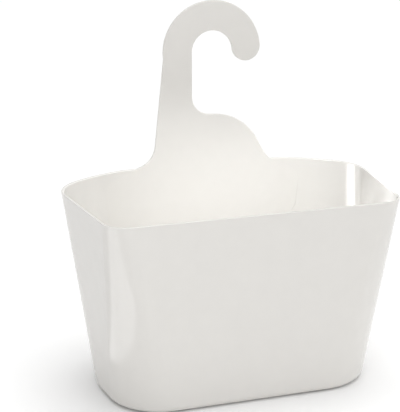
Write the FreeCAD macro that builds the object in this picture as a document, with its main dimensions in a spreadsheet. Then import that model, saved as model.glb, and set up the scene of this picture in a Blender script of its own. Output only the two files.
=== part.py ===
import FreeCAD, Part
import math
import os
import re

import Sketcher
from FreeCAD import Vector

# Hanging shower caddy: an open tub with a flat hook plate let into its back wall.
# Frame: +Z up, front towards -Y, underside of the tub on z = 0, x = 0 on the middle of the tub.
# The sketches are drawn with the back face on y = 0; both bodies are then placed so that y = 0
# lies under the middle of the rim's depth. Millimetres and degrees.

doc = FreeCAD.newDocument("shower_caddy")

# ---------------------------------------------------------------- driving dimensions
DIMENSIONS = [
    # The tub. Widths are taken where the straight sides would meet, before the corners are rounded.
    ("basket_height", 176.5),
    ("rim_rear_width", 300),
    ("rim_front_width", 260),
    ("rim_depth", 162),
    ("rim_rear_radius", 46),
    ("rim_front_radius", 22),
    ("base_rear_width", 265),
    ("base_depth", 144.5),
    ("base_rear_radius", 74),
    ("base_front_radius", 49),
    ("base_edge_radius", 7),
    ("side_wall", 2),
    ("rear_wall", 3.6),
    ("floor_wall", 2.2),
    ("rim_rounding", 0.6),
    # The middle of the rear rim rises a little towards the hook plate.
    ("crown_rise", 4.5),
    ("crown_root", 5),
    ("crown_top_width", 150),
    ("crown_foot_width", 193),
    # Drain holes in the floor.
    ("drain_diameter", 6),
    ("drain_rows", 3),
    ("drain_row_pitch", 32),
    ("drain_columns", 6),
    ("drain_column_pitch", 32),
    ("drain_middle_depth", 72),
    # The hook plate: tongue, shoulders, stem and crook in one flat moulding.
    ("plate_thickness", 2.6),
    ("seat_depth", 2.6),
    ("plate_edge_radius", 0.5),
    ("tongue_width", 193),
    ("tongue_bottom", 124),
    ("tongue_lean", 5),
    ("tongue_foot_radius", 14),
    ("tongue_corner_height", 169),
    ("tongue_corner_radius", 16),
    ("tongue_slope", 21),
    ("neck_foot_x", 64),
    ("neck_foot_radius", 25),
    ("neck_flank_angle", 61),
    ("shoulder_radius", 50),
    ("shoulder_top", 229.6),
    ("shoulder_fall", 4),
    ("bay_radius", 17),
    ("stem_lean", 6.3),
    ("stem_foot_radius", 22),
    ("crook_x", 8.4),
    ("crook_z", 286.4),
    ("crook_inner_radius", 19.3),
    ("crook_outer_radius", 46.9),
    ("crook_tip_rise", 3.7),
]

ALIASES = {alias for alias, _ in DIMENSIONS}
TOLERANCE = 0.01  # mm, for picking edges by where they lie
SAME_POINT = 1e-6

sheet = doc.addObject("Spreadsheet::Sheet", "dimensions")
for row, (alias, value) in enumerate(DIMENSIONS, start=1):
    sheet.set("A%d" % row, alias)
    sheet.set("B%d" % row, str(value))
    sheet.setAlias("B%d" % row, alias)
doc.recompute()


def dim(alias):
    """The value of a sheet cell, in millimetres or degrees."""
    return float(sheet.get(alias))


def bound(expression):
    """An expression with its aliases written as cells of the sheet."""
    return re.sub("[a-z_]+", lambda m: ("dimensions." if m[0] in ALIASES else "") + m[0], expression)


# ---------------------------------------------------------------- helpers
def plane(body, role):
    """One of the body's own origin planes."""
    return next(f for f in body.Origin.OriginFeatures if f.Role == role)


def new_sketch(body, name, role, offset=None):
    """An empty sketch on an origin plane, moved along its normal by a bound expression."""
    sketch = body.newObject("Sketcher::SketchObject", name)
    sketch.AttachmentSupport = [(plane(body, role), "")]
    sketch.MapMode = "FlatFace"
    if offset:
        sketch.setExpression("AttachmentOffset.Base.z", bound(offset))
    return sketch


def constrain(sketch, name, kind, *where, expression=None):
    """Add a named constraint and bind its value to the sheet."""
    index = sketch.addConstraint(Sketcher.Constraint(kind, *where))
    if expression:
        sketch.renameConstraint(index, name)
        sketch.setExpression("Constraints." + name, bound(expression))


def round_corner(sketch, name, line, end, start_radius, expression):
    """Round the corner at one end of a line, and keep its sharp point for the other constraints."""
    sketch.fillet(line, end, start_radius, True, True)
    arc = next(i for i in reversed(range(sketch.GeometryCount))
               if isinstance(sketch.Geometry[i], Part.ArcOfCircle))
    constrain(sketch, name, "Radius", arc, start_radius, expression=expression)


def add_lines(sketch, ends):
    """Straight lines between pairs of points; ends that share a point are made coincident."""
    first = sketch.GeometryCount
    for start, end in ends:
        sketch.addGeometry(Part.LineSegment(Vector(*start, 0), Vector(*end, 0)))
    tips = [(first + i, pos, point) for i, pair in enumerate(ends) for pos, point in enumerate(pair, start=1)]
    for k, (line, pos, point) in enumerate(tips):
        for other, other_pos, other_point in tips[k + 1:]:
            if math.dist(point, other_point) < SAME_POINT:
                constrain(sketch, "", "Coincident", line, pos, other, other_pos)


def closed(points):
    """The sides of a polygon as pairs of points."""
    return list(zip(points, points[1:] + points[:1]))


def settle(sketch):
    """Solve the sketch and stop if it isn't fully held by its constraints."""
    if sketch.solve() != 0 or not sketch.FullyConstrained:
        raise RuntimeError("sketch %s is not fully constrained" % sketch.Name)


def length_of(expression):
    """The number that an expression over the sheet gives."""
    cell = "D1"
    sheet.set(cell, "=" + expression)
    doc.recompute()
    value = float(sheet.get(cell))
    sheet.clear(cell)
    return value


def place(body):
    """Move a finished body so that y = 0 lies under the middle of the rim's depth."""
    body.setExpression("Placement.Base.y", bound("rim_depth / 2"))
    doc.recompute()


# ---------------------------------------------------------------- tub
def trapezoid(body, name, height, near, far, near_width, far_width, near_radius, far_radius):
    """A rounded trapezoid level with the floor; each size is an expression over the sheet.

    near and far are the distances of its rear and front sides in front of y = 0."""
    sketch = new_sketch(body, name, "XY_Plane", height)
    y_near, y_far = -length_of(near), -length_of(far)
    half_near, half_far = length_of(near_width) / 2, length_of(far_width) / 2
    add_lines(sketch, closed([(-half_near, y_near), (half_near, y_near),
                              (half_far, y_far), (-half_far, y_far)]))
    constrain(sketch, "", "Symmetric", 0, 1, 0, 2, -2)
    constrain(sketch, "", "Symmetric", 2, 1, 2, 2, -2)
    constrain(sketch, "near_width", "DistanceX", 0, 1, 0, 2, 2 * half_near, expression=near_width)
    constrain(sketch, "far_width", "DistanceX", 2, 2, 2, 1, 2 * half_far, expression=far_width)
    if y_near:
        constrain(sketch, "near", "DistanceY", 0, 1, -1, 1, -y_near, expression=near)
    else:
        constrain(sketch, "", "PointOnObject", 0, 1, -1)
    constrain(sketch, "far", "DistanceY", 2, 1, -1, 1, -y_far, expression=far)
    for i, radius in enumerate((near_radius, far_radius, far_radius, near_radius)):
        round_corner(sketch, "radius%d" % i, i, 2, length_of(radius), radius)
    settle(sketch)
    return sketch


def outer_width(rear, at):
    """Width between the outer side faces, which lean in alike at the rim and at the base."""
    return "%s - (rim_rear_width - rim_front_width) * (%s) / rim_depth" % (rear, at)


def inner_width(rear, at):
    """Width between the inner side faces at a distance in front of y = 0."""
    slant = "sqrt(1 + ((rim_rear_width - rim_front_width) / (2 * rim_depth)) ^ 2)"
    return "%s - 2 * side_wall * %s" % (outer_width(rear, at), slant)


def edges_where(shape, keep):
    """Names of the edges of a shape that a test keeps."""
    return ["Edge%d" % i for i, edge in enumerate(shape.Edges, start=1) if keep(edge)]


def level_edge(height):
    """A test for edges that lie flat at a height."""
    return lambda e: max(abs(e.BoundBox.ZMin - height), abs(e.BoundBox.ZMax - height)) < TOLERANCE


def make_basket():
    """The open tub: drafted walls, rounded corners, a raised rear rim, a seat and drain holes."""
    body = doc.addObject("PartDesign::Body", "basket")
    body.Label = "basket"

    base = trapezoid(body, "base_outline", None, "0", "base_depth", "base_rear_width",
                     outer_width("base_rear_width", "base_depth"), "base_rear_radius", "base_front_radius")
    rim = trapezoid(body, "rim_outline", "basket_height", "0", "rim_depth", "rim_rear_width",
                    "rim_front_width", "rim_rear_radius", "rim_front_radius")
    outside = body.newObject("PartDesign::AdditiveLoft", "outside")
    outside.Profile = rim
    outside.Sections = [base]
    outside.Ruled = True
    doc.recompute()

    foot = body.newObject("PartDesign::Fillet", "foot_rounding")
    foot.Base = (outside, edges_where(outside.Shape, level_edge(0)))
    foot.Radius = dim("base_edge_radius")
    foot.setExpression("Radius", bound("base_edge_radius"))
    doc.recompute()

    far_base, far_rim = "base_depth - side_wall", "rim_depth - side_wall"
    floor = trapezoid(
        body, "floor_outline", "floor_wall", "rear_wall", far_base,
        inner_width("base_rear_width", "rear_wall"), inner_width("base_rear_width", far_base),
        "base_rear_radius - side_wall", "base_front_radius - side_wall")
    mouth = trapezoid(
        body, "mouth_outline", "basket_height", "rear_wall", far_rim,
        inner_width("rim_rear_width", "rear_wall"), inner_width("rim_rear_width", far_rim),
        "rim_rear_radius - side_wall", "rim_front_radius - side_wall")
    inside = body.newObject("PartDesign::SubtractiveLoft", "inside")
    inside.Profile = mouth
    inside.Sections = [floor]
    inside.Ruled = True
    doc.recompute()

    heel = body.newObject("PartDesign::Fillet", "floor_rounding")
    heel.Base = (inside, edges_where(inside.Shape, level_edge(dim("floor_wall"))))
    heel.Radius = dim("base_edge_radius") - dim("side_wall")
    heel.setExpression("Radius", bound("base_edge_radius - side_wall"))
    doc.recompute()

    lip = body.newObject("PartDesign::Fillet", "rim_rounding_edge")
    lip.Base = (heel, edges_where(heel.Shape, level_edge(dim("basket_height"))))
    lip.Radius = dim("rim_rounding")
    lip.setExpression("Radius", bound("rim_rounding"))
    doc.recompute()

    crown_pad(body)
    seat_pocket(body)
    body.Tip = drain_holes(body)
    place(body)
    return body


def crown_pad(body):
    """The rise in the middle of the rear rim, as thick as the rear wall."""
    sketch = new_sketch(body, "crown_outline", "XZ_Plane")
    low, top = dim("basket_height"), dim("basket_height") + dim("crown_rise")
    foot, head = dim("crown_foot_width") / 2, dim("crown_top_width") / 2
    sunk = low - dim("crown_root")
    add_lines(sketch, closed([(-foot, sunk), (foot, sunk), (foot, low),
                              (head, top), (-head, top), (-foot, low)]))
    constrain(sketch, "", "Vertical", 1)
    constrain(sketch, "", "Vertical", 5)
    constrain(sketch, "", "Symmetric", 0, 1, 0, 2, -2)
    constrain(sketch, "", "Symmetric", 3, 1, 3, 2, -2)
    constrain(sketch, "", "Horizontal", 2, 1, 4, 2)
    constrain(sketch, "foot", "DistanceX", 0, 1, 0, 2, 2 * foot, expression="crown_foot_width")
    constrain(sketch, "head", "DistanceX", 3, 2, 3, 1, 2 * head, expression="crown_top_width")
    constrain(sketch, "sunk", "DistanceY", -1, 1, 0, 1, sunk, expression="basket_height - crown_root")
    constrain(sketch, "low", "DistanceY", -1, 1, 2, 1, low, expression="basket_height")
    constrain(sketch, "top", "DistanceY", -1, 1, 3, 1, top, expression="basket_height + crown_rise")
    settle(sketch)
    pad = body.newObject("PartDesign::Pad", "crown")
    pad.Profile = sketch
    pad.Length = dim("rear_wall")
    pad.setExpression("Length", bound("rear_wall"))
    doc.recompute()
    return pad


def seat_pocket(body):
    """The seat in the inner face of the rear wall, as deep as the plate that it takes is thick."""
    sketch = plate_outline(body, "seat_outline", "rear_wall")
    pocket = body.newObject("PartDesign::Pocket", "seat")
    pocket.Profile = sketch
    pocket.Length = dim("seat_depth")
    pocket.setExpression("Length", bound("seat_depth"))
    doc.recompute()
    return pocket


def drain_holes(body):
    """Rows of round holes through the floor."""
    sketch = new_sketch(body, "drain_row", "XY_Plane")
    left = "drain_column_pitch * (drain_columns - 1) / 2"
    for i in range(int(dim("drain_rows"))):
        back = "drain_middle_depth + drain_row_pitch * (%d - (drain_rows - 1) / 2)" % i
        centre = Vector(-length_of(left), -length_of(back), 0)
        sketch.addGeometry(Part.Circle(centre, Vector(0, 0, 1), dim("drain_diameter") / 2))
        constrain(sketch, "size%d" % i, "Diameter", i, dim("drain_diameter"), expression="drain_diameter")
        constrain(sketch, "left%d" % i, "DistanceX", i, 3, -1, 1, -centre.x, expression=left)
        constrain(sketch, "back%d" % i, "DistanceY", i, 3, -1, 1, -centre.y, expression=back)
    settle(sketch)
    pocket = body.newObject("PartDesign::Pocket", "drain_column")
    pocket.Profile = sketch
    pocket.Reversed = True
    pocket.Length = dim("floor_wall")
    pocket.setExpression("Length", bound("floor_wall"))
    doc.recompute()
    columns = body.newObject("PartDesign::LinearPattern", "drain_columns")
    columns.Originals = [pocket]
    columns.Direction = (sketch, ["H_Axis"])
    columns.Occurrences = int(dim("drain_columns"))
    columns.setExpression("Occurrences", bound("drain_columns"))
    columns.Length = length_of("drain_column_pitch * (drain_columns - 1)")
    columns.setExpression("Length", bound("drain_column_pitch * (drain_columns - 1)"))
    doc.recompute()
    return columns


# ---------------------------------------------------------------- hook plate
def plate_outline(body, name, offset):
    """The outline of the hook plate, upright, at a distance in front of y = 0."""
    sketch = new_sketch(body, name, "XZ_Plane", offset)
    half, foot, corner = dim("tongue_width") / 2, dim("tongue_bottom"), dim("tongue_corner_height")
    splay = math.radians(dim("tongue_lean"))
    foot_half = half - (corner - foot) * math.tan(splay)
    slope, flank = math.radians(dim("tongue_slope")), math.radians(dim("neck_flank_angle"))
    fall, lean = math.radians(dim("shoulder_fall")), math.radians(dim("stem_lean"))
    centre = Vector(dim("crook_x"), dim("crook_z"), 0)
    inner, outer = dim("crook_inner_radius"), dim("crook_outer_radius")
    middle = (inner + outer) / 2
    tip = math.asin(dim("crook_tip_rise") / middle)

    stem_x, shoulder_z = centre.x - inner, dim("shoulder_top")
    neck = (dim("neck_foot_x"), corner + (half - dim("neck_foot_x")) * math.tan(slope))
    # The flank rises from the neck until it meets the falling top of the shoulder.
    rise = ((shoulder_z - (neck[0] - stem_x) * math.tan(fall) - neck[1])
            / (math.sin(flank) - math.cos(flank) * math.tan(fall)))
    shoulder = (neck[0] - rise * math.cos(flank), neck[1] + rise * math.sin(flank))
    stem_top = (centre.x - outer * math.cos(lean), centre.y - outer * math.sin(lean))
    # The outer side of the stem leans out until it meets the slope of the left shoulder.
    drop = ((stem_top[1] - corner - (half + stem_top[0]) * math.tan(slope))
            / (math.cos(lean) - math.sin(lean) * math.tan(slope)))
    stem_foot = (stem_top[0] - drop * math.sin(lean), stem_top[1] - drop * math.cos(lean))

    add_lines(sketch, [
        ((-foot_half, foot), (foot_half, foot)), ((foot_half, foot), (half, corner)),
        (neck, (half, corner)),
        (shoulder, neck), ((stem_x, shoulder_z), shoulder), ((stem_x, shoulder_z), (stem_x, centre.y)),
        (stem_foot, stem_top), ((-half, corner), stem_foot), ((-half, corner), (-foot_half, foot))])
    bottom, right, right_slope, flank_line, top, stem_in, stem_out, left_slope, left = range(9)
    up = Vector(0, 0, 1)
    tip_centre = centre + Vector(math.cos(tip), math.sin(tip), 0) * middle
    arcs = [(centre, inner, tip, math.pi),
            (tip_centre, (outer - inner) / 2, tip + math.pi, tip + 2 * math.pi),
            (centre, outer, tip, math.pi + lean)]
    for middle_point, radius, start, end in arcs:
        sketch.addGeometry(Part.ArcOfCircle(Part.Circle(middle_point, up, radius), start, end))
    arc_in, arc_tip, arc_out = 9, 10, 11

    constrain(sketch, "", "Tangent", stem_in, 2, arc_in, 2)
    constrain(sketch, "", "Tangent", arc_in, 1, arc_tip, 1)
    constrain(sketch, "", "Tangent", arc_tip, 2, arc_out, 1)
    constrain(sketch, "", "Tangent", arc_out, 2, stem_out, 2)
    constrain(sketch, "", "Coincident", arc_in, 3, arc_out, 3)
    constrain(sketch, "", "Vertical", stem_in)
    constrain(sketch, "", "Symmetric", bottom, 1, bottom, 2, -2)
    constrain(sketch, "", "Symmetric", right, 2, left, 1, -2)
    constrain(sketch, "width", "DistanceX", left, 1, right, 2, 2 * half, expression="tongue_width")
    constrain(sketch, "foot", "DistanceY", -1, 1, bottom, 1, foot, expression="tongue_bottom")
    constrain(sketch, "corner", "DistanceY", -1, 1, right, 2, corner, expression="tongue_corner_height")
    for label, line, angle, expression in (
            ("splay", right, math.pi / 2 - splay, "90 - tongue_lean"),
            ("slope_right", right_slope, -slope, "0 - tongue_slope"),
            ("slope_left", left_slope, slope, "tongue_slope"),
            ("flank", flank_line, -flank, "0 - neck_flank_angle"),
            ("fall", top, -fall, "0 - shoulder_fall"),
            ("lean", stem_out, math.pi / 2 - lean, "90 - stem_lean")):
        constrain(sketch, label, "Angle", line, angle, expression=expression)
    constrain(sketch, "neck", "DistanceX", -1, 1, right_slope, 1, neck[0], expression="neck_foot_x")
    constrain(sketch, "shoulder", "DistanceY", -1, 1, top, 1, shoulder_z, expression="shoulder_top")
    constrain(sketch, "crook_x", "DistanceX", -1, 1, arc_out, 3, centre.x, expression="crook_x")
    constrain(sketch, "crook_z", "DistanceY", -1, 1, arc_out, 3, centre.y, expression="crook_z")
    constrain(sketch, "inner", "Radius", arc_in, inner, expression="crook_inner_radius")
    constrain(sketch, "outer", "Radius", arc_out, outer, expression="crook_outer_radius")
    constrain(sketch, "tip", "DistanceY", arc_out, 3, arc_tip, 3, dim("crook_tip_rise"),
              expression="crook_tip_rise")
    for label, line, end, radius in (
            ("foot_right", bottom, 2, "tongue_foot_radius"),
            ("corner_right", right, 2, "tongue_corner_radius"),
            ("neck_right", right_slope, 1, "neck_foot_radius"),
            ("shoulder_round", flank_line, 1, "shoulder_radius"),
            ("bay", top, 1, "bay_radius"),
            ("stem_round", left_slope, 2, "stem_foot_radius"),
            ("corner_left", left, 1, "tongue_corner_radius"),
            ("foot_left", bottom, 1, "tongue_foot_radius")):
        round_corner(sketch, label, line, end, dim(radius), radius)
    settle(sketch)
    return sketch


def make_hook_plate():
    """The flat plate whose tongue lies in the seat of the tub and whose crook hangs on a rail."""
    body = doc.addObject("PartDesign::Body", "hook_plate")
    body.Label = "hook_plate"
    pad = body.newObject("PartDesign::Pad", "plate")
    pad.Profile = plate_outline(body, "plate_outline", "rear_wall - seat_depth")
    pad.Length = dim("plate_thickness")
    pad.setExpression("Length", bound("plate_thickness"))
    doc.recompute()

    back = -(dim("rear_wall") - dim("seat_depth"))
    front = back - dim("plate_thickness")
    edges = edges_where(pad.Shape, lambda e: e.BoundBox.YLength < TOLERANCE
                        and min(abs(e.BoundBox.YMin - back), abs(e.BoundBox.YMin - front)) < TOLERANCE)
    rounding = body.newObject("PartDesign::Fillet", "plate_edge_rounding")
    rounding.Base = (pad, edges)
    rounding.Radius = dim("plate_edge_radius")
    rounding.setExpression("Radius", bound("plate_edge_radius"))
    body.Tip = rounding
    place(body)
    return body


# ---------------------------------------------------------------- build, check, write
PIECES = [make_basket(), make_hook_plate()]
doc.recompute()

for item in doc.Objects:
    if "Invalid" in item.State or "Error" in item.State:
        raise RuntimeError("%s failed: %s" % (item.Name, item.State))

os.makedirs("parts", exist_ok=True)
for piece in PIECES:
    shape = piece.Shape
    if shape.isNull() or not shape.isValid() or len(shape.Solids) != 1:
        raise RuntimeError("%s has no sound solid" % piece.Label)
    box = shape.BoundBox
    print("%-12s %9.0f mm3  x %.1f..%.1f  y %.1f..%.1f  z %.1f..%.1f" % (
        piece.Label, shape.Volume, box.XMin, box.XMax, box.YMin, box.YMax, box.ZMin, box.ZMax))
for piece in PIECES:
    piece.Shape.exportStep("parts/%s.step" % piece.Label)
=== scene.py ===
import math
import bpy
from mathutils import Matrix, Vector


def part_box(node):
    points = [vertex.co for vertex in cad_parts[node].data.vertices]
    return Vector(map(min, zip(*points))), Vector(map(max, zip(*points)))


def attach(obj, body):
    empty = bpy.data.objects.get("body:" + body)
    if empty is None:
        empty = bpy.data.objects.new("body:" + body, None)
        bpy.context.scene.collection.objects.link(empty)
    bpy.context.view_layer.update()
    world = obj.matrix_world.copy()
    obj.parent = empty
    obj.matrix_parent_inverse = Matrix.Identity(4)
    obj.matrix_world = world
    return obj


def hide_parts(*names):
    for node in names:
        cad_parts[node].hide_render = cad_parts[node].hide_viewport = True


bl_info = {
    "name": "Hanging shower caddy",
    "version": (1, 0, 0),
    "blender": (4, 5, 0),
    "location": "3D View > Sidebar > Shower Caddy",
    "description": "Builds a moulded shower caddy, its tub and its hook plate, on a pale studio floor",
    "category": "Object",
}

import bmesh
import bpy
from bpy.props import FloatProperty, FloatVectorProperty, IntProperty, PointerProperty
from mathutils import Matrix, Vector

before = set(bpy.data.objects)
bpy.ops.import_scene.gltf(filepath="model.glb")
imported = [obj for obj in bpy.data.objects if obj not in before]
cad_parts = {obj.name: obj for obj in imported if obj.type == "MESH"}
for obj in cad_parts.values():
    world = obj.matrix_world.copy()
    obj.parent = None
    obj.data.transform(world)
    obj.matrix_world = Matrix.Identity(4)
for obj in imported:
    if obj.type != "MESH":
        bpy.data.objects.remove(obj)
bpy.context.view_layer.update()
BODY = "root"

MM = 0.001
FRONT_RIM_HEIGHT = 176.5  # mm
TUB_LOW, TUB_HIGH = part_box("basket")
PLATE_LOW, PLATE_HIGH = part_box("hook_plate")
BACK = TUB_HIGH.y


# ---------------------------------------------------------------- settings
def length(name, description, millimetres):
    """A length property with its default in millimetres."""
    return FloatProperty(name=name, description=description, default=millimetres * MM,
                         unit="LENGTH", subtype="DISTANCE", precision=4)


def angle(name, description, degrees):
    """An angle property with its default in degrees."""
    return FloatProperty(name=name, description=description, default=math.radians(degrees),
                         unit="ROTATION", subtype="ANGLE")


def colour(name, description, rgb):
    """A colour property."""
    return FloatVectorProperty(name=name, description=description, default=rgb,
                               subtype="COLOR", size=3, min=0.0, max=1.0)


class CaddyTubSettings(bpy.types.PropertyGroup):
    """Sizes of the tub. Widths are taken where the straight sides would meet."""

    height: length("Height", "Height of the rim at the front", FRONT_RIM_HEIGHT)
    rim_rear_width: length("Rim Rear Width", "Width of the rim along the wall side", 300)
    rim_front_width: length("Rim Front Width", "Width of the rim along the front", 260)
    rim_depth: length("Rim Depth", "Depth of the rim from back to front", (TUB_HIGH.y - TUB_LOW.y) / MM)
    rim_rear_radius: length("Rim Rear Radius", "Corner radius of the rim at the back", 46)
    rim_front_radius: length("Rim Front Radius", "Corner radius of the rim at the front", 22)
    base_rear_width: length("Base Rear Width", "Width of the underside along the wall side", 265)
    base_depth: length("Base Depth", "Depth of the underside", 144.5)
    base_rear_radius: length("Base Rear Radius", "Corner radius of the underside at the back", 74)
    base_front_radius: length("Base Front Radius", "Corner radius of the underside at the front", 49)
    base_edge_radius: length("Base Edge Radius", "Rounding between the walls and the underside", 7)
    side_wall: length("Side Wall", "Thickness of the side and front walls", 2)
    rear_wall: length("Rear Wall", "Thickness of the rear wall", 3.6)
    floor_wall: length("Floor", "Thickness of the floor", 2.2)
    lip_radius: length("Lip Radius", "Rounding of the rim's two edges", 0.8)
    crown_rise: length("Crown Rise", "Rise of the middle of the rear rim", TUB_HIGH.z / MM - FRONT_RIM_HEIGHT)
    crown_half_width: length("Crown Half Width", "Half of the width over which the rim is highest", 70)
    crown_run: length("Crown Run", "Distance over which the crown falls to the corners", 55)


class CaddyDrainSettings(bpy.types.PropertyGroup):
    """Sizes of the drain holes in the floor."""

    diameter: length("Diameter", "Diameter of a drain hole", 6)
    chamfer: length("Chamfer", "Width of the bevel round a hole's upper edge", 0.7)
    rows: IntProperty(name="Rows", description="Holes from back to front", default=3, min=1)
    columns: IntProperty(name="Columns", description="Holes from side to side", default=6, min=1)
    row_pitch: length("Row Pitch", "Distance between rows", 32)
    column_pitch: length("Column Pitch", "Distance between columns", 32)
    middle: length("Middle", "Distance of the middle row from the back of the tub", 72)


class CaddyPlateSettings(bpy.types.PropertyGroup):
    """Sizes of the hook plate."""

    edge_radius: length("Edge Radius", "Rounding of the stem's and the crook's edges", 0.95)
    seam_radius: length("Seam Radius", "Rounding of the tongue's edges in their seat", 0.08)
    tongue_width: length("Tongue Width", "Width over the tongue's upper corners", 193)
    tongue_bottom: length("Tongue Bottom", "Height of the tongue's lower edge", PLATE_LOW.z / MM)
    tongue_lean: angle("Tongue Lean", "Lean of the tongue's sides", 5)
    tongue_foot_radius: length("Tongue Foot Radius", "Radius of the tongue's lower corners", 14)
    tongue_corner_height: length("Tongue Corner Height", "Height of the tongue's upper corners", 169)
    tongue_corner_radius: length("Tongue Corner Radius", "Radius of the tongue's upper corners", 16)
    tongue_slope: angle("Tongue Slope", "Slope of the tongue's upper edges", 21)
    neck_foot: length("Neck Foot", "Half width at the foot of the right shoulder", 64)
    neck_radius: length("Neck Radius", "Radius at the foot of the right shoulder", 25)
    neck_flank: angle("Neck Flank", "Steepness of the right shoulder's flank", 61)
    shoulder_radius: length("Shoulder Radius", "Radius of the right shoulder", 50)
    shoulder_top: length("Shoulder Top", "Height of the shoulder at the stem", 229.6)
    shoulder_fall: angle("Shoulder Fall", "Slope of the top of the shoulder", 4)
    bay_radius: length("Bay Radius", "Radius between the stem and the shoulder", 17)
    stem_lean: angle("Stem Lean", "Lean of the stem's outer side", 6.3)
    stem_radius: length("Stem Foot Radius", "Radius at the foot of the stem's outer side", 22)
    crook_x: length("Crook X", "Crook centre, to the right of the tub's middle", 8.4)
    crook_inner: length("Crook Inner Radius", "Radius of the rail's seat in the crook", 19.3)
    crook_outer: length("Crook Outer Radius", "Radius of the crook's outer edge", 46.9)
    crook_tip_rise: length("Crook Tip Rise", "Height of the tip's centre over the crook's", 3.7)


class CaddyPlasticSettings(bpy.types.PropertyGroup):
    """The moulded polypropylene."""

    tub_colour: colour("Tub Colour", "Colour of the tub's plastic", (0.76, 0.743, 0.712))
    plate_colour: colour("Plate Colour", "Colour of the hook plate's plastic", (0.765, 0.748, 0.716))
    roughness: FloatProperty(name="Roughness", description="Mean roughness of the moulded skin",
                             default=0.14, min=0.0, max=1.0)
    grain: length("Grain", "Size of the fine grain of the moulded skin", 0.45)
    ripple: length("Ripple", "Size of the slow ripple left by cooling", 38)


class CaddyStageSettings(bpy.types.PropertyGroup):
    """The camera and the studio."""

    camera_azimuth: angle("Camera Azimuth", "Turn of the camera towards the right side", -17.81)
    camera_elevation: angle("Camera Elevation", "Height of the camera as an angle", 16.5)
    camera_roll: angle("Camera Roll", "Roll of the camera", -0.22)
    camera_distance: length("Camera Distance", "Distance from the camera to its target", 1117.7)
    camera_target: FloatVectorProperty(name="Camera Target", description="Point that the camera looks at",
                                       default=(-19.5 * MM, 28.9 * MM, 155.2 * MM), subtype="TRANSLATION")
    camera_lens: FloatProperty(name="Camera Lens", description="Focal length in millimetres",
                               default=108.1, min=1.0)
    floor_colour: colour("Floor Colour", "Colour of the studio floor", (0.95, 0.95, 0.95))


# ---------------------------------------------------------------- mesh helpers
def finish_mesh(name, mesh, material, nodes):
    """Put a finished mesh on stage as a piece that rides on the body and stands for its CAD node."""
    piece = bpy.data.objects.new(name, mesh)
    bpy.context.scene.collection.objects.link(piece)
    mesh.materials.clear()
    mesh.materials.append(material)
    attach(piece, BODY)
    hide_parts(*nodes)
    return piece


def smooth_by_angle(mesh, degrees):
    """Smooth shading, split where two faces meet at more than an angle."""
    mesh.shade_smooth()
    mesh.set_sharp_from_angle(angle=math.radians(degrees))


def evaluated_mesh(obj, name):
    """The mesh of an object with its modifiers applied; the object itself is deleted."""
    bpy.context.view_layer.update()
    graph = bpy.context.evaluated_depsgraph_get()
    mesh = bpy.data.meshes.new_from_object(obj.evaluated_get(graph))
    mesh.name = name
    bpy.data.objects.remove(obj)
    return mesh


def scratch_object(name, mesh):
    """A linked object that only serves while a piece is made."""
    obj = bpy.data.objects.new(name, mesh)
    bpy.context.scene.collection.objects.link(obj)
    return obj


# ---------------------------------------------------------------- tub shape
CORNER_STEPS = 20
REAR_STEPS = 40
SIDE_STEPS = 6
FRONT_STEPS = 12
WALL_LEVELS = 18
ROUNDING_STEPS = 7
LIP_STEPS = 4
QUARTER = math.pi / 2
CROWN_FADE = 1.6  # the crown fades out towards the front within the rim's depth divided by this
CROWN_POWER = 3  # the crown lifts a point of the wall by its share of the height to this power


def mix(a, b, share):
    """A value between two others."""
    return a + (b - a) * share


def smoothstep(value):
    """A soft step from 0 to 1."""
    value = min(max(value, 0.0), 1.0)
    return value * value * (3 - 2 * value)


def tub_plan(tub, share, side_inset, rear_inset, radius_cut):
    """The tub's outline at a share of its height, pulled in from the outside by the insets."""
    slope = (tub.rim_rear_width - tub.rim_front_width) / 2 / tub.rim_depth
    lean = math.hypot(1, slope)
    rear = mix(tub.base_rear_width, tub.rim_rear_width, share) / 2
    depth = mix(tub.base_depth, tub.rim_depth, share)
    rear_radius = mix(tub.base_rear_radius, tub.rim_rear_radius, share) - radius_cut
    front_radius = mix(tub.base_front_radius, tub.rim_front_radius, share) - radius_cut
    side_angle = -math.atan(slope)
    y_rear, y_front = -rear_inset, -(depth - side_inset)

    def half_width(y):
        return rear + slope * y - side_inset * lean

    corners = [
        (Vector((-half_width(y_rear), y_rear)), rear_radius, math.pi - side_angle, QUARTER),
        (Vector((half_width(y_rear), y_rear)), rear_radius, QUARTER, side_angle),
        (Vector((half_width(y_front), y_front)), front_radius, side_angle, -QUARTER),
        (Vector((-half_width(y_front), y_front)), front_radius, -QUARTER, -math.pi - side_angle)]
    arcs = []
    for corner, radius, start, end in corners:
        first = Vector((math.cos(start), math.sin(start)))
        last = Vector((math.cos(end), math.sin(end)))
        centre = corner - radius * (first + last) / (1 + first.dot(last))
        turns = [mix(start, end, i / CORNER_STEPS) for i in range(CORNER_STEPS + 1)]
        arcs.append([centre + radius * Vector((math.cos(t), math.sin(t))) for t in turns])
    points = []
    for i, steps in enumerate((REAR_STEPS, SIDE_STEPS, FRONT_STEPS, SIDE_STEPS)):
        start, end = arcs[i][-1], arcs[(i + 1) % 4][0]
        points += arcs[i] + [start.lerp(end, k / steps) for k in range(1, steps)]
    return points


def rim_rise(tub, point):
    """How much higher than the front rim the rim is at a point of its outline."""
    back = smoothstep(1 + CROWN_FADE * point.y / tub.rim_depth)
    crown = 1 - smoothstep((abs(point.x) - tub.crown_half_width) / tub.crown_run)
    return back * crown * tub.crown_rise


def quarter_turn(radius, steps):
    """Inset and height of points along a quarter circle, from flat underneath to upright."""
    turns = [QUARTER * i / steps for i in range(steps + 1)]
    return [(radius * (1 - math.sin(t)), radius * (1 - math.cos(t))) for t in turns]


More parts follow.
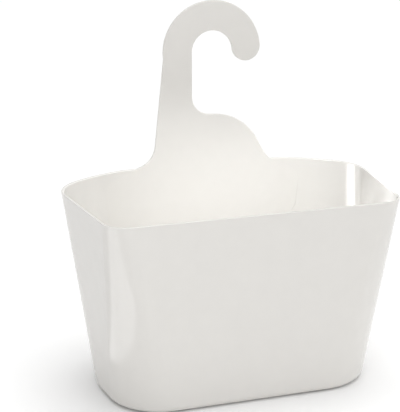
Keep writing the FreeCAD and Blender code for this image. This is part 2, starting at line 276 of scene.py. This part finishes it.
def tub_stations(tub):
    """Height, share of the wall's draft and insets of each ring, from the underside round to the floor."""
    height, edge, lip, floor = tub.height, tub.base_edge_radius, tub.lip_radius, tub.floor_wall
    inner_edge = edge - tub.side_wall
    inside = height - floor
    levels = [i / WALL_LEVELS for i in range(1, WALL_LEVELS)]
    lip_turns = [(inset, height - drop) for drop, inset in quarter_turn(lip, LIP_STEPS)]
    rings = [(z, z / height, inset, inset, inset) for inset, z in quarter_turn(edge, ROUNDING_STEPS)]
    for z in (mix(edge, height - lip, level) for level in levels):
        rings.append((z, z / height, 0.0, 0.0, 0.0))
    for inset, z in lip_turns:
        rings.append((z, z / height, inset, inset, inset))
    for inset, z in reversed(lip_turns):
        rings.append((z, z / height, tub.side_wall - inset, tub.rear_wall - inset, tub.side_wall - inset))
    for z in (mix(floor + inner_edge, height - lip, level) for level in reversed(levels)):
        rings.append((z, (z - floor) / inside, tub.side_wall, tub.rear_wall, tub.side_wall))
    for inset, z in reversed(quarter_turn(inner_edge, ROUNDING_STEPS)):
        rings.append((floor + z, z / inside, tub.side_wall + inset, tub.rear_wall + inset,
                      tub.side_wall + inset))
    return rings


def tub_shell(tub):
    """The tub as one closed shell of rings, before its seat and its drain holes are cut."""
    bm = bmesh.new()
    rises = [rim_rise(tub, point) for point in tub_plan(tub, 1.0, 0.0, 0.0, 0.0)]
    loops = []
    for z, share, side_inset, rear_inset, radius_cut in tub_stations(tub):
        plan = tub_plan(tub, share, side_inset, rear_inset, radius_cut)
        lift = (z / tub.height) ** CROWN_POWER
        loops.append([bm.verts.new((p.x, BACK + p.y, z + rise * lift)) for p, rise in zip(plan, rises)])
    count = len(loops[0])
    for low, high in zip(loops, loops[1:]):
        for i in range(count):
            j = (i + 1) % count
            bm.faces.new((low[i], low[j], high[j], high[i]))
    bm.faces.new(loops[0])
    bm.faces.new(loops[-1])
    bmesh.ops.recalc_face_normals(bm, faces=bm.faces)
    mesh = bpy.data.meshes.new("tub_shell")
    bm.to_mesh(mesh)
    bm.free()
    return mesh


# ---------------------------------------------------------------- hook plate shape
ARC_STEP = math.radians(4)
EDGE_STEPS = 5
LINE_STEP = 6 * MM


def arc(centre, radius, start, end):
    """Points along an arc, both of its ends included."""
    steps = max(3, math.ceil(abs(end - start) / ARC_STEP))
    turns = [mix(start, end, i / steps) for i in range(steps + 1)]
    return [centre + radius * Vector((math.cos(t), math.sin(t))) for t in turns]


def rounded_corner(before, corner, after, radius):
    """An arc that rounds the corner between two straight sides."""
    arrive = (corner - before).normalized()
    leave = (after - corner).normalized()
    turn = arrive.x * leave.y - arrive.y * leave.x
    side = 1 if turn > 0 else -1
    inward = side * (Vector((-arrive.y, arrive.x)) + Vector((-leave.y, leave.x)))
    centre = corner + radius * inward / (1 + arrive.dot(leave))
    start = math.atan2(-side * arrive.x, side * arrive.y)
    sweep = math.atan2(turn, arrive.dot(leave))
    return arc(centre, radius, start, start + sweep)


def plate_outline(plate):
    """The plate's outline as points (x, z), anticlockwise seen from the front."""
    half, foot, corner = plate.tongue_width / 2, plate.tongue_bottom, plate.tongue_corner_height
    foot_half = half - (corner - foot) * math.tan(plate.tongue_lean)
    slope, fall = math.tan(plate.tongue_slope), math.tan(plate.shoulder_fall)
    centre = Vector((plate.crook_x, PLATE_HIGH.z - plate.crook_outer))
    stem_x = centre.x - plate.crook_inner
    bay = Vector((stem_x, plate.shoulder_top))
    neck = Vector((plate.neck_foot, corner + (half - plate.neck_foot) * slope))
    run, rise = math.cos(plate.neck_flank), math.sin(plate.neck_flank)
    flank = (bay.y - (neck.x - stem_x) * fall - neck.y) / (rise - run * fall)
    shoulder = neck + flank * Vector((-run, rise))
    lean_run, lean_rise = math.sin(plate.stem_lean), math.cos(plate.stem_lean)
    stem_top = centre - plate.crook_outer * Vector((lean_rise, lean_run))
    drop = (stem_top.y - corner - (half + stem_top.x) * slope) / (lean_rise - lean_run * slope)
    stem_foot = stem_top - drop * Vector((lean_run, lean_rise))
    middle = (plate.crook_inner + plate.crook_outer) / 2
    tip = math.asin(plate.crook_tip_rise / middle)
    tip_centre = centre + middle * Vector((math.cos(tip), math.sin(tip)))
    left, right = Vector((-half, corner)), Vector((half, corner))
    left_foot, right_foot = Vector((-foot_half, foot)), Vector((foot_half, foot))

    points = []
    for before, point, after, radius in (
            (left, left_foot, right_foot, plate.tongue_foot_radius),
            (left_foot, right_foot, right, plate.tongue_foot_radius),
            (right_foot, right, neck, plate.tongue_corner_radius),
            (right, neck, shoulder, plate.neck_radius),
            (neck, shoulder, bay, plate.shoulder_radius),
            (shoulder, bay, Vector((stem_x, centre.y)), plate.bay_radius)):
        points += rounded_corner(before, point, after, radius)
    points += arc(centre, plate.crook_inner, math.pi, tip)
    tip_radius = (plate.crook_outer - plate.crook_inner) / 2
    points += arc(tip_centre, tip_radius, tip + math.pi, tip + 2 * math.pi)[1:]
    points += arc(centre, plate.crook_outer, tip, math.pi + plate.stem_lean)[1:]
    points += rounded_corner(stem_top, stem_foot, left, plate.stem_radius)
    points += rounded_corner(stem_foot, left, left_foot, plate.tongue_corner_radius)

    dense = []
    for start, end in zip(points, points[1:] + points[:1]):
        steps = max(1, round((end - start).length / LINE_STEP))
        dense += [start.lerp(end, i / steps) for i in range(steps)]
    return dense


def outward(points, i):
    """The outward direction of an anticlockwise outline at one of its points."""
    along = points[(i + 1) % len(points)] - points[i - 1]
    return Vector((along.y, -along.x)).normalized()


def plate_mesh(points, front, back, radii):
    """A flat plate with the outline given, its edges rounded by a radius at each point."""
    bm = bmesh.new()
    out = [outward(points, i) for i in range(len(points))]
    edge = quarter_turn(1.0, EDGE_STEPS)
    profile = [(inset, depth, 1) for inset, depth in edge]
    profile += [(inset, depth, -1) for inset, depth in reversed(edge)]
    loops = []
    for inset, depth, side in profile:
        start = front if side > 0 else back
        loops.append([
            bm.verts.new((p.x - n.x * r * inset, start + side * r * depth, p.y - n.y * r * inset))
            for p, n, r in zip(points, out, radii)])
    count = len(points)
    for near, far in zip(loops, loops[1:]):
        for i in range(count):
            j = (i + 1) % count
            bm.faces.new((near[i], near[j], far[j], far[i]))
    bm.faces.new(loops[0])
    bm.faces.new(loops[-1])
    bmesh.ops.recalc_face_normals(bm, faces=bm.faces)
    mesh = bpy.data.meshes.new("plate_shell")
    bm.to_mesh(mesh)
    bm.free()
    return mesh


# ---------------------------------------------------------------- cutting
SEAT_CLEARANCE = 3 * MM  # how far the cutter stands out of the wall
SAME_PLACE = 1e-7
DRILL_SIDES = 32
DRILL_REACH = 4.0  # length of a drill, in floor thicknesses


def cut_seat(shell, plate, tub):
    """Cut the seat of the plate's tongue out of the inner face of the rear wall."""
    points = plate_outline(plate)
    inner_face = BACK - tub.rear_wall
    cutter = plate_mesh(points, inner_face - SEAT_CLEARANCE, PLATE_HIGH.y, [0.0] * len(points))
    bm = bmesh.new()
    bm.from_mesh(cutter)
    bmesh.ops.remove_doubles(bm, verts=bm.verts, dist=SAME_PLACE)
    bmesh.ops.recalc_face_normals(bm, faces=bm.faces)
    bm.to_mesh(cutter)
    bm.free()
    knife = scratch_object("seat_cutter", cutter)
    body = scratch_object("tub_blank", shell)
    cut = body.modifiers.new("seat", "BOOLEAN")
    cut.operation = "DIFFERENCE"
    cut.solver = "EXACT"
    cut.object = knife
    mesh = evaluated_mesh(body, "tub_with_seat")
    bpy.data.objects.remove(knife)
    return mesh


def drain_tree():
    """Geometry nodes that drill a grid of countersunk holes through the floor."""
    tree = bpy.data.node_groups.new("drain_holes", "GeometryNodeTree")
    face = tree.interface
    face.new_socket("Geometry", in_out="INPUT", socket_type="NodeSocketGeometry")
    for name in ("Radius", "Chamfer", "Floor", "Width", "Depth", "Middle"):
        face.new_socket(name, in_out="INPUT", socket_type="NodeSocketFloat")
    for name in ("Columns", "Rows"):
        face.new_socket(name, in_out="INPUT", socket_type="NodeSocketInt")
    face.new_socket("Material", in_out="INPUT", socket_type="NodeSocketMaterial")
    face.new_socket("Geometry", in_out="OUTPUT", socket_type="NodeSocketGeometry")

    def node(kind, **values):
        made = tree.nodes.new(kind)
        for key, value in values.items():
            setattr(made, key, value)
        return made

    def math_node(operation, a, b):
        made = node("ShaderNodeMath", operation=operation)
        for socket, value in zip(made.inputs, (a, b)):
            if isinstance(value, (int, float)):
                socket.default_value = value
            else:
                tree.links.new(value, socket)
        return made.outputs[0]

    link = tree.links.new
    given = node("NodeGroupInput").outputs
    grid = node("GeometryNodeMeshGrid")
    link(given["Width"], grid.inputs["Size X"])
    link(given["Depth"], grid.inputs["Size Y"])
    link(given["Columns"], grid.inputs["Vertices X"])
    link(given["Rows"], grid.inputs["Vertices Y"])
    place = node("ShaderNodeCombineXYZ")
    link(given["Middle"], place.inputs["Y"])
    move = node("GeometryNodeTransform")
    link(grid.outputs["Mesh"], move.inputs["Geometry"])
    link(place.outputs[0], move.inputs["Translation"])

    drill = node("GeometryNodeMeshCylinder")
    drill.inputs["Vertices"].default_value = DRILL_SIDES
    link(given["Radius"], drill.inputs["Radius"])
    link(math_node("MULTIPLY", given["Floor"], DRILL_REACH), drill.inputs["Depth"])
    sink = node("GeometryNodeMeshCone")
    sink.inputs["Vertices"].default_value = DRILL_SIDES
    wide = math_node("MULTIPLY", given["Chamfer"], 2.0)
    link(math_node("ADD", given["Radius"], wide), sink.inputs["Radius Top"])
    link(given["Radius"], sink.inputs["Radius Bottom"])
    link(wide, sink.inputs["Depth"])
    lift = node("ShaderNodeCombineXYZ")
    link(math_node("SUBTRACT", given["Floor"], given["Chamfer"]), lift.inputs["Z"])
    raised = node("GeometryNodeTransform")
    link(sink.outputs["Mesh"], raised.inputs["Geometry"])
    link(lift.outputs[0], raised.inputs["Translation"])

    cut = node("GeometryNodeMeshBoolean", operation="DIFFERENCE", solver="EXACT")
    cut.inputs["Self Intersection"].default_value = True
    link(given["Geometry"], cut.inputs["Mesh 1"])
    for tool in (drill.outputs["Mesh"], raised.outputs["Geometry"]):
        scatter = node("GeometryNodeInstanceOnPoints")
        link(move.outputs["Geometry"], scatter.inputs["Points"])
        link(tool, scatter.inputs["Instance"])
        solid = node("GeometryNodeRealizeInstances")
        link(scatter.outputs["Instances"], solid.inputs["Geometry"])
        link(solid.outputs["Geometry"], cut.inputs["Mesh 2"])
    real = node("GeometryNodeRealizeInstances")
    paint = node("GeometryNodeSetMaterial")
    link(cut.outputs["Mesh"], real.inputs["Geometry"])
    link(real.outputs["Geometry"], paint.inputs["Geometry"])
    link(given["Material"], paint.inputs["Material"])
    link(paint.outputs["Geometry"], node("NodeGroupOutput").inputs["Geometry"])
    return tree


def drill_drains(blank, drains, tub, material):
    """Run the drain tree on a mesh and give the drilled mesh."""
    body = scratch_object("tub_undrilled", blank)
    modifier = body.modifiers.new("drain_holes", "NODES")
    modifier.node_group = drain_tree()
    values = {
        "Radius": drains.diameter / 2, "Chamfer": drains.chamfer, "Floor": tub.floor_wall,
        "Width": drains.column_pitch * (drains.columns - 1), "Depth": drains.row_pitch * (drains.rows - 1),
        "Middle": BACK - drains.middle, "Columns": drains.columns, "Rows": drains.rows,
        "Material": material}
    for item in modifier.node_group.interface.items_tree:
        if item.in_out == "INPUT" and item.name in values:
            modifier[item.identifier] = values[item.name]
    return evaluated_mesh(body, "tub")


# ---------------------------------------------------------------- plastic
TINT_RANGE = (0.992, 1.007)  # darkest and lightest mottling, as shares of the plastic's colour
ROUGHNESS_RANGE = (-0.03, 0.04)  # added to the mean roughness
RIPPLE_BUMP = (0.35, 0.25 * MM)  # strength and distance
GRAIN_BUMP = (0.12, 0.01 * MM)
POLYPROPYLENE_IOR = 1.49


def moulded_plastic(name, base, plastic):
    """Warm white moulded polypropylene: faint mottling, a fine skin and slow cooling ripples."""
    material = bpy.data.materials.new(name)
    material.use_nodes = True
    material.diffuse_color = (*base, 1.0)
    tree = material.node_tree
    tree.nodes.clear()
    link = tree.links.new
    output = tree.nodes.new("ShaderNodeOutputMaterial")
    shader = tree.nodes.new("ShaderNodeBsdfPrincipled")
    link(shader.outputs["BSDF"], output.inputs["Surface"])
    place = tree.nodes.new("ShaderNodeTexCoord").outputs["Object"]

    def noise(size, detail, rough=0.5):
        made = tree.nodes.new("ShaderNodeTexNoise")
        made.inputs["Scale"].default_value = 1 / size
        made.inputs["Detail"].default_value = detail
        made.inputs["Roughness"].default_value = rough
        link(place, made.inputs["Vector"])
        return made.outputs["Fac"]

    def remap(source, low, high, to_low, to_high):
        made = tree.nodes.new("ShaderNodeMapRange")
        for key, value in (("From Min", low), ("From Max", high), ("To Min", to_low), ("To Max", to_high)):
            made.inputs[key].default_value = value
        link(source, made.inputs["Value"])
        return made.outputs["Result"]

    def bump(height, strength, distance, normal=None):
        made = tree.nodes.new("ShaderNodeBump")
        made.inputs["Strength"].default_value = strength
        made.inputs["Distance"].default_value = distance
        link(height, made.inputs["Height"])
        if normal:
            link(normal, made.inputs["Normal"])
        return made.outputs["Normal"]

    flow = noise(plastic.ripple, 2.0)
    grain = noise(plastic.grain, 2.0, 0.6)
    cloud = noise(plastic.ripple / 3, 3.0, 0.55)

    tint = tree.nodes.new("ShaderNodeMix")
    tint.data_type = "RGBA"
    for socket, factor in zip("AB", TINT_RANGE):
        tint.inputs[socket].default_value = (*[min(1.0, c * factor) for c in base], 1.0)
    link(remap(cloud, 0.3, 0.7, 0.0, 1.0), tint.inputs["Factor"])
    link(tint.outputs["Result"], shader.inputs["Base Color"])
    smoothest, roughest = (plastic.roughness + change for change in ROUGHNESS_RANGE)
    link(remap(cloud, 0.25, 0.75, smoothest, roughest), shader.inputs["Roughness"])
    link(bump(grain, *GRAIN_BUMP, bump(flow, *RIPPLE_BUMP)), shader.inputs["Normal"])
    shader.inputs["IOR"].default_value = POLYPROPYLENE_IOR
    return material


# ---------------------------------------------------------------- operators
TUB_CREASE = 32  # degrees between two faces, past which their edge stays sharp
PLATE_CREASE = 40
EDGE_RUN = 6 * MM  # height over the rim in which the plate's edges reach their full rounding
FEWEST_FACES = 1000


class CADDY_OT_tub(bpy.types.Operator):
    """Build the open tub with its seat for the plate and its drain holes"""

    bl_idname = "caddy.tub"
    bl_label = "Build Tub"

    def execute(self, context):
        scene = context.scene
        tub, plate, drains, plastic = (scene.caddy_tub, scene.caddy_plate, scene.caddy_drains,
                                       scene.caddy_plastic)
        material = moulded_plastic("tub_plastic", tuple(plastic.tub_colour), plastic)
        blank = cut_seat(tub_shell(tub), plate, tub)
        mesh = drill_drains(blank, drains, tub, material)
        if len(mesh.polygons) < FEWEST_FACES:
            raise RuntimeError("the tub came out empty")
        smooth_by_angle(mesh, TUB_CREASE)
        finish_mesh("caddy_tub", weighted(mesh, "caddy_tub"), material, ["basket"])
        return {"FINISHED"}


class CADDY_OT_hook_plate(bpy.types.Operator):
    """Build the hook plate: tongue, shoulders, stem and crook"""

    bl_idname = "caddy.hook_plate"
    bl_label = "Build Hook Plate"

    def execute(self, context):
        plate, plastic = context.scene.caddy_plate, context.scene.caddy_plastic
        material = moulded_plastic("plate_plastic", tuple(plastic.plate_colour), plastic)
        points = plate_outline(plate)
        radii = [mix(plate.seam_radius, plate.edge_radius, smoothstep((p.y - TUB_HIGH.z) / EDGE_RUN))
                 for p in points]
        mesh = plate_mesh(points, PLATE_LOW.y, PLATE_HIGH.y, radii)
        smooth_by_angle(mesh, PLATE_CREASE)
        finish_mesh("caddy_hook_plate", weighted(mesh, "caddy_hook_plate"), material, ["hook_plate"])
        return {"FINISHED"}


def weighted(mesh, name):
    """The mesh with its corner normals weighted by face area, so flat faces stay flat."""
    obj = scratch_object("weighting", mesh)
    modifier = obj.modifiers.new("weighted", "WEIGHTED_NORMAL")
    modifier.keep_sharp = True
    return evaluated_mesh(obj, name)


class CADDY_OT_stage(bpy.types.Operator):
    """Set up the pale floor, the studio lights and the camera"""

    bl_idname = "caddy.stage"
    bl_label = "Set Up Stage"

    def execute(self, context):
        stage = context.scene.caddy_stage
        build_floor(stage)
        build_surround(context.scene)
        build_lights(context.scene)
        build_camera(context.scene, stage)
        return {"FINISHED"}


# ---------------------------------------------------------------- stage
FLOOR_REACH = 60.0
FLOOR_DROP = 0.2 * MM  # keeps the floor clear of the underside
SENSOR = 36

# The surround's brightness, white, at shares of the way from left to right.
SURROUND = ((0.0, 0.12), (0.7, 0.87), (1.0, 0.78))
# It is plain white up to the first height over the horizon and itself above the second.
HORIZON_BAND = (0.02, 0.09)
OVERHEAD = (1.45, math.radians(50))  # strength and softness

# Each light: name, place, point that it faces, width and height in metres, power in watts.
LEFT_KEY = ("left_key", (-0.79, -1.13, 0.93), (0, 0, 0.13), (0.7, 0.7), 2.9)
INNER_GLOW = ("inner_glow", (0.03, -0.055, 0.215), (0.03, 0.075, 0.12), (0.26, 0.04), 0.087)
GLOW_COLOUR = (0.97, 0.985, 1.0)
GLOW_SPREAD = math.radians(108)
CARDS = (
    ("corner_strip", (0.100, 0.0635, 0.150), (0.135, 0.052, 0.152), (0.011, 0.075), 0.015),
    ("corner_fill", (0.108, 0.067, 0.150), (0.140, 0.048, 0.152), (0.010, 0.075), 0.0018),
    ("corner_thread", (0.118, 0.064, 0.150), (0.142, 0.046, 0.152), (0.0012, 0.075), 0.0010),
    ("floor_card", (-0.325, -0.075, 0.002), (-0.325, -0.074, 1.0), (0.30, 0.22), 0.3),
)
CARD_SPREAD = math.radians(150)


def build_floor(stage):
    """A large pale floor just under the tub."""
    mesh = bpy.data.meshes.new("studio_floor")
    corners = [(x * FLOOR_REACH, y * FLOOR_REACH, -FLOOR_DROP)
               for x, y in ((-1, -1), (1, -1), (1, 1), (-1, 1))]
    mesh.from_pydata(corners, [], [(0, 1, 2, 3)])
    floor = scratch_object("studio_floor", mesh)
    material = bpy.data.materials.new("studio_floor")
    material.use_nodes = True
    shader = material.node_tree.nodes["Principled BSDF"]
    shader.inputs["Base Color"].default_value = (*stage.floor_colour, 1.0)
    shader.inputs["Roughness"].default_value = 0.9
    shader.inputs["Specular IOR Level"].default_value = 0.1
    mesh.materials.append(material)


def build_surround(scene):
    """A world that is bright on the right, dim on the left, and white along the horizon."""
    world = bpy.data.worlds.new("studio_surround")
    world.use_nodes = True
    tree = world.node_tree
    link = tree.links.new
    direction = tree.nodes.new("ShaderNodeTexCoord")
    split = tree.nodes.new("ShaderNodeSeparateXYZ")
    link(direction.outputs["Generated"], split.inputs["Vector"])
    share = tree.nodes.new("ShaderNodeMapRange")
    share.inputs["From Min"].default_value = -1.0
    link(split.outputs["X"], share.inputs["Value"])
    dimming = tree.nodes.new("ShaderNodeValToRGB")
    stops = dimming.color_ramp.elements
    stops.new(SURROUND[1][0])
    for stop, (place, level) in zip(stops, SURROUND):
        stop.position = place
        stop.color = (level, level, level, 1.0)
    link(share.outputs["Result"], dimming.inputs["Fac"])
    height = tree.nodes.new("ShaderNodeMapRange")
    height.inputs["From Min"].default_value, height.inputs["From Max"].default_value = HORIZON_BAND
    link(split.outputs["Z"], height.inputs["Value"])
    horizon = tree.nodes.new("ShaderNodeMix")
    horizon.data_type = "RGBA"
    horizon.inputs["A"].default_value = (1.0, 1.0, 1.0, 1.0)
    link(height.outputs["Result"], horizon.inputs["Factor"])
    link(dimming.outputs["Color"], horizon.inputs["B"])
    link(horizon.outputs["Result"], tree.nodes["Background"].inputs["Color"])
    tree.nodes["Background"].inputs["Strength"].default_value = 1.0
    scene.world = world


def area_light(name, place, target, size, power):
    """A rectangular soft light aimed at a point, hidden from the camera."""
    data = bpy.data.lights.new(name, "AREA")
    data.shape = "RECTANGLE"
    data.size, data.size_y = size
    data.energy = power
    light = bpy.data.objects.new(name, data)
    light.location = place
    light.rotation_euler = (Vector(target) - Vector(place)).to_track_quat("-Z", "Y").to_euler()
    light.visible_camera = False
    bpy.context.scene.collection.objects.link(light)
    return light


def build_lights(scene):
    """An overhead light, a key, a glow that the gloss doesn't see, and cards that only the gloss sees."""
    sun = bpy.data.lights.new("overhead", "SUN")
    sun.energy, sun.angle = OVERHEAD
    scene.collection.objects.link(bpy.data.objects.new("overhead", sun))
    area_light(*LEFT_KEY)
    glow = area_light(*INNER_GLOW)
    glow.data.color = GLOW_COLOUR
    glow.data.spread = GLOW_SPREAD
    glow.visible_glossy = False
    for spec in CARDS:
        card = area_light(*spec)
        card.data.spread = CARD_SPREAD
        card.visible_diffuse = False


def build_camera(scene, stage):
    """A long lens from the front left, a little above the rim."""
    target = Vector(stage.camera_target)
    turn, lift, roll = stage.camera_azimuth, stage.camera_elevation, stage.camera_roll
    back = Vector((math.sin(turn) * math.cos(lift), -math.cos(turn) * math.cos(lift), math.sin(lift)))
    level = Vector((math.cos(turn), math.sin(turn), 0))
    upright = back.cross(level)
    right = math.cos(roll) * level + math.sin(roll) * upright
    up = back.cross(right)
    data = bpy.data.cameras.new("studio_camera")
    data.sensor_width = SENSOR
    data.lens = stage.camera_lens
    camera = bpy.data.objects.new("studio_camera", data)
    camera.matrix_world = Matrix.Translation(target + stage.camera_distance * back) @ Matrix(
        (right, up, back)).transposed().to_4x4()
    scene.collection.objects.link(camera)
    scene.camera = camera
    scene.view_settings.view_transform = "Standard"


# ---------------------------------------------------------------- panel and registration
SETTINGS = (("caddy_tub", CaddyTubSettings), ("caddy_drains", CaddyDrainSettings),
            ("caddy_plate", CaddyPlateSettings), ("caddy_plastic", CaddyPlasticSettings),
            ("caddy_stage", CaddyStageSettings))
OPERATORS = (CADDY_OT_tub, CADDY_OT_hook_plate, CADDY_OT_stage)


class CADDY_PT_panel(bpy.types.Panel):
    """Lists the caddy's settings and the operators that build it"""

    bl_idname = "CADDY_PT_panel"
    bl_label = "Shower Caddy"
    bl_space_type = "VIEW_3D"
    bl_region_type = "UI"
    bl_category = "Shower Caddy"

    def draw(self, context):
        for name, group in SETTINGS:
            box = self.layout.box()
            box.label(text=name.replace("_", " ").title())
            for key in group.__annotations__:
                box.prop(getattr(context.scene, name), key)
        for operator in OPERATORS:
            self.layout.operator(operator.bl_idname)


def register():
    """Register the settings, the operators and the panel."""
    for name, group in SETTINGS:
        bpy.utils.register_class(group)
        setattr(bpy.types.Scene, name, PointerProperty(type=group))
    for operator in OPERATORS:
        bpy.utils.register_class(operator)
    bpy.utils.register_class(CADDY_PT_panel)


def unregister():
    """Take everything out again."""
    bpy.utils.unregister_class(CADDY_PT_panel)
    for operator in reversed(OPERATORS):
        bpy.utils.unregister_class(operator)
    for name, group in reversed(SETTINGS):
        delattr(bpy.types.Scene, name)
        bpy.utils.unregister_class(group)


def main():
    """Build every piece and the stage."""
    register()
    bpy.ops.caddy.tub()
    bpy.ops.caddy.hook_plate()
    bpy.ops.caddy.stage()


if __name__ == "__main__":
    main()
